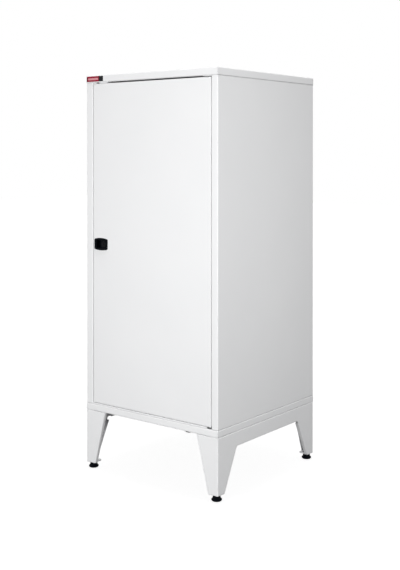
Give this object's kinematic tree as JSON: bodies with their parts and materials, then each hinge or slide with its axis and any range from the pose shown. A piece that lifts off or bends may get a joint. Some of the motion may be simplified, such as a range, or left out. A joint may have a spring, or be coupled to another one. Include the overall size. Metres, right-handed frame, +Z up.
{
  "type": "metal storage cabinet",
  "caption": "Tall white sheet-steel storage cabinet with a right-hinged lockable door, adjustable shelves and tapered folded leg frames on levelling feet.",
  "frame": {"origin": "on the floor under the middle of the cabinet", "axes": "+X to the right of a person facing the door, the door faces -Y, +Z up"},
  "size_m": [0.5, 0.5022, 1.1951],
  "materials": {
    "white_paint": "semi-matt powder coat",
    "zinc_steel": "zinc plated",
    "black_plastic": "matt moulded",
    "black_lock_metal": "satin black",
    "black_rubber": "matt",
    "red_plate": "satin, bare"
  },
  "bodies": {
    "cabinet": {"back_panel": "white_paint", "base_tray": "white_paint", "door_buffer": "black_rubber", "door_sill": "white_paint", "door_stop_bracket": "white_paint", "foot_plates": "white_paint", "front_left_upright": "white_paint", "front_right_upright": "white_paint", "left_leg_frame": "white_paint", "left_side_panel": "white_paint", "lower_hinge_pin": "zinc_steel", "lower_shelf": "white_paint", "middle_shelf": "white_paint", "name_plate": "red_plate", "rear_left_upright": "white_paint", "rear_right_upright": "white_paint", "right_leg_frame": "white_paint", "right_side_panel": "white_paint", "shelf_clips": "zinc_steel", "top_cap": "white_paint", "upper_hinge_pin": "zinc_steel", "upper_hinge_plate": "white_paint", "upper_shelf": "white_paint"},
    "door": {"door_panel": "white_paint", "door_stiffener": "white_paint", "upper_pivot_block": "zinc_steel", "lower_pivot_block": "zinc_steel", "upper_hinge_bush": "black_plastic", "lower_hinge_bush": "black_plastic", "lock_housing": "black_plastic", "lock_retaining_frame": "zinc_steel"},
    "lock_barrel": {"lock_plug": "black_lock_metal", "lock_cam": "zinc_steel", "cam_nut": "zinc_steel"},
    "front_left_foot": {"front_left_foot_pad": "black_plastic"},
    "front_left_stud": {"front_left_foot_stud": "zinc_steel"},
    "front_right_foot": {"front_right_foot_pad": "black_plastic"},
    "front_right_stud": {"front_right_foot_stud": "zinc_steel"},
    "rear_left_foot": {"rear_left_foot_pad": "black_plastic"},
    "rear_left_stud": {"rear_left_foot_stud": "zinc_steel"},
    "rear_right_foot": {"rear_right_foot_pad": "black_plastic"},
    "rear_right_stud": {"rear_right_foot_stud": "zinc_steel"}
  },
  "joints": [
    {"name": "door_swing", "type": "hinge", "parent": "cabinet", "child": "door", "pos_m": [0.2174, -0.2435, 0.69], "axis": [0, 0, 1], "range_deg": [0, 110]},
    {"name": "lock_turn", "type": "hinge", "parent": "door", "child": "lock_barrel", "pos_m": [-0.1797, -0.2377, 0.685], "axis": [0, 1, 0], "range_deg": [0, 90]},
    {"name": "front_left_foot_level", "type": "slide", "parent": "cabinet", "child": "front_left_foot", "axis": [0, 0, -1], "range_m": [0, 0.015]},
    {"name": "front_left_stud_turn", "type": "hinge", "parent": "front_left_foot", "child": "front_left_stud", "pos_m": [-0.235, -0.235, 0.03], "axis": [0, 0, -1], "range_deg": [0, 4330]},
    {"name": "front_right_foot_level", "type": "slide", "parent": "cabinet", "child": "front_right_foot", "axis": [0, 0, -1], "range_m": [0, 0.015]},
    {"name": "front_right_stud_turn", "type": "hinge", "parent": "front_right_foot", "child": "front_right_stud", "pos_m": [0.235, -0.235, 0.03], "axis": [0, 0, -1], "range_deg": [0, 4330]},
    {"name": "rear_left_foot_level", "type": "slide", "parent": "cabinet", "child": "rear_left_foot", "axis": [0, 0, -1], "range_m": [0, 0.015]},
    {"name": "rear_left_stud_turn", "type": "hinge", "parent": "rear_left_foot", "child": "rear_left_stud", "pos_m": [-0.235, 0.235, 0.03], "axis": [0, 0, -1], "range_deg": [0, 4330]},
    {"name": "rear_right_foot_level", "type": "slide", "parent": "cabinet", "child": "rear_right_foot", "axis": [0, 0, -1], "range_m": [0, 0.015]},
    {"name": "rear_right_stud_turn", "type": "hinge", "parent": "rear_right_foot", "child": "rear_right_stud", "pos_m": [0.235, 0.235, 0.03], "axis": [0, 0, -1], "range_deg": [0, 4330]}
  ],
  "couplings": [
    {"joint": "front_left_stud_turn", "follows": "front_left_foot_level", "rad_per_m": 5026.5},
    {"joint": "front_right_stud_turn", "follows": "front_right_foot_level", "rad_per_m": 5026.5},
    {"joint": "rear_left_stud_turn", "follows": "rear_left_foot_level", "rad_per_m": 5026.5},
    {"joint": "rear_right_stud_turn", "follows": "rear_right_foot_level", "rad_per_m": 5026.5}
  ]
}
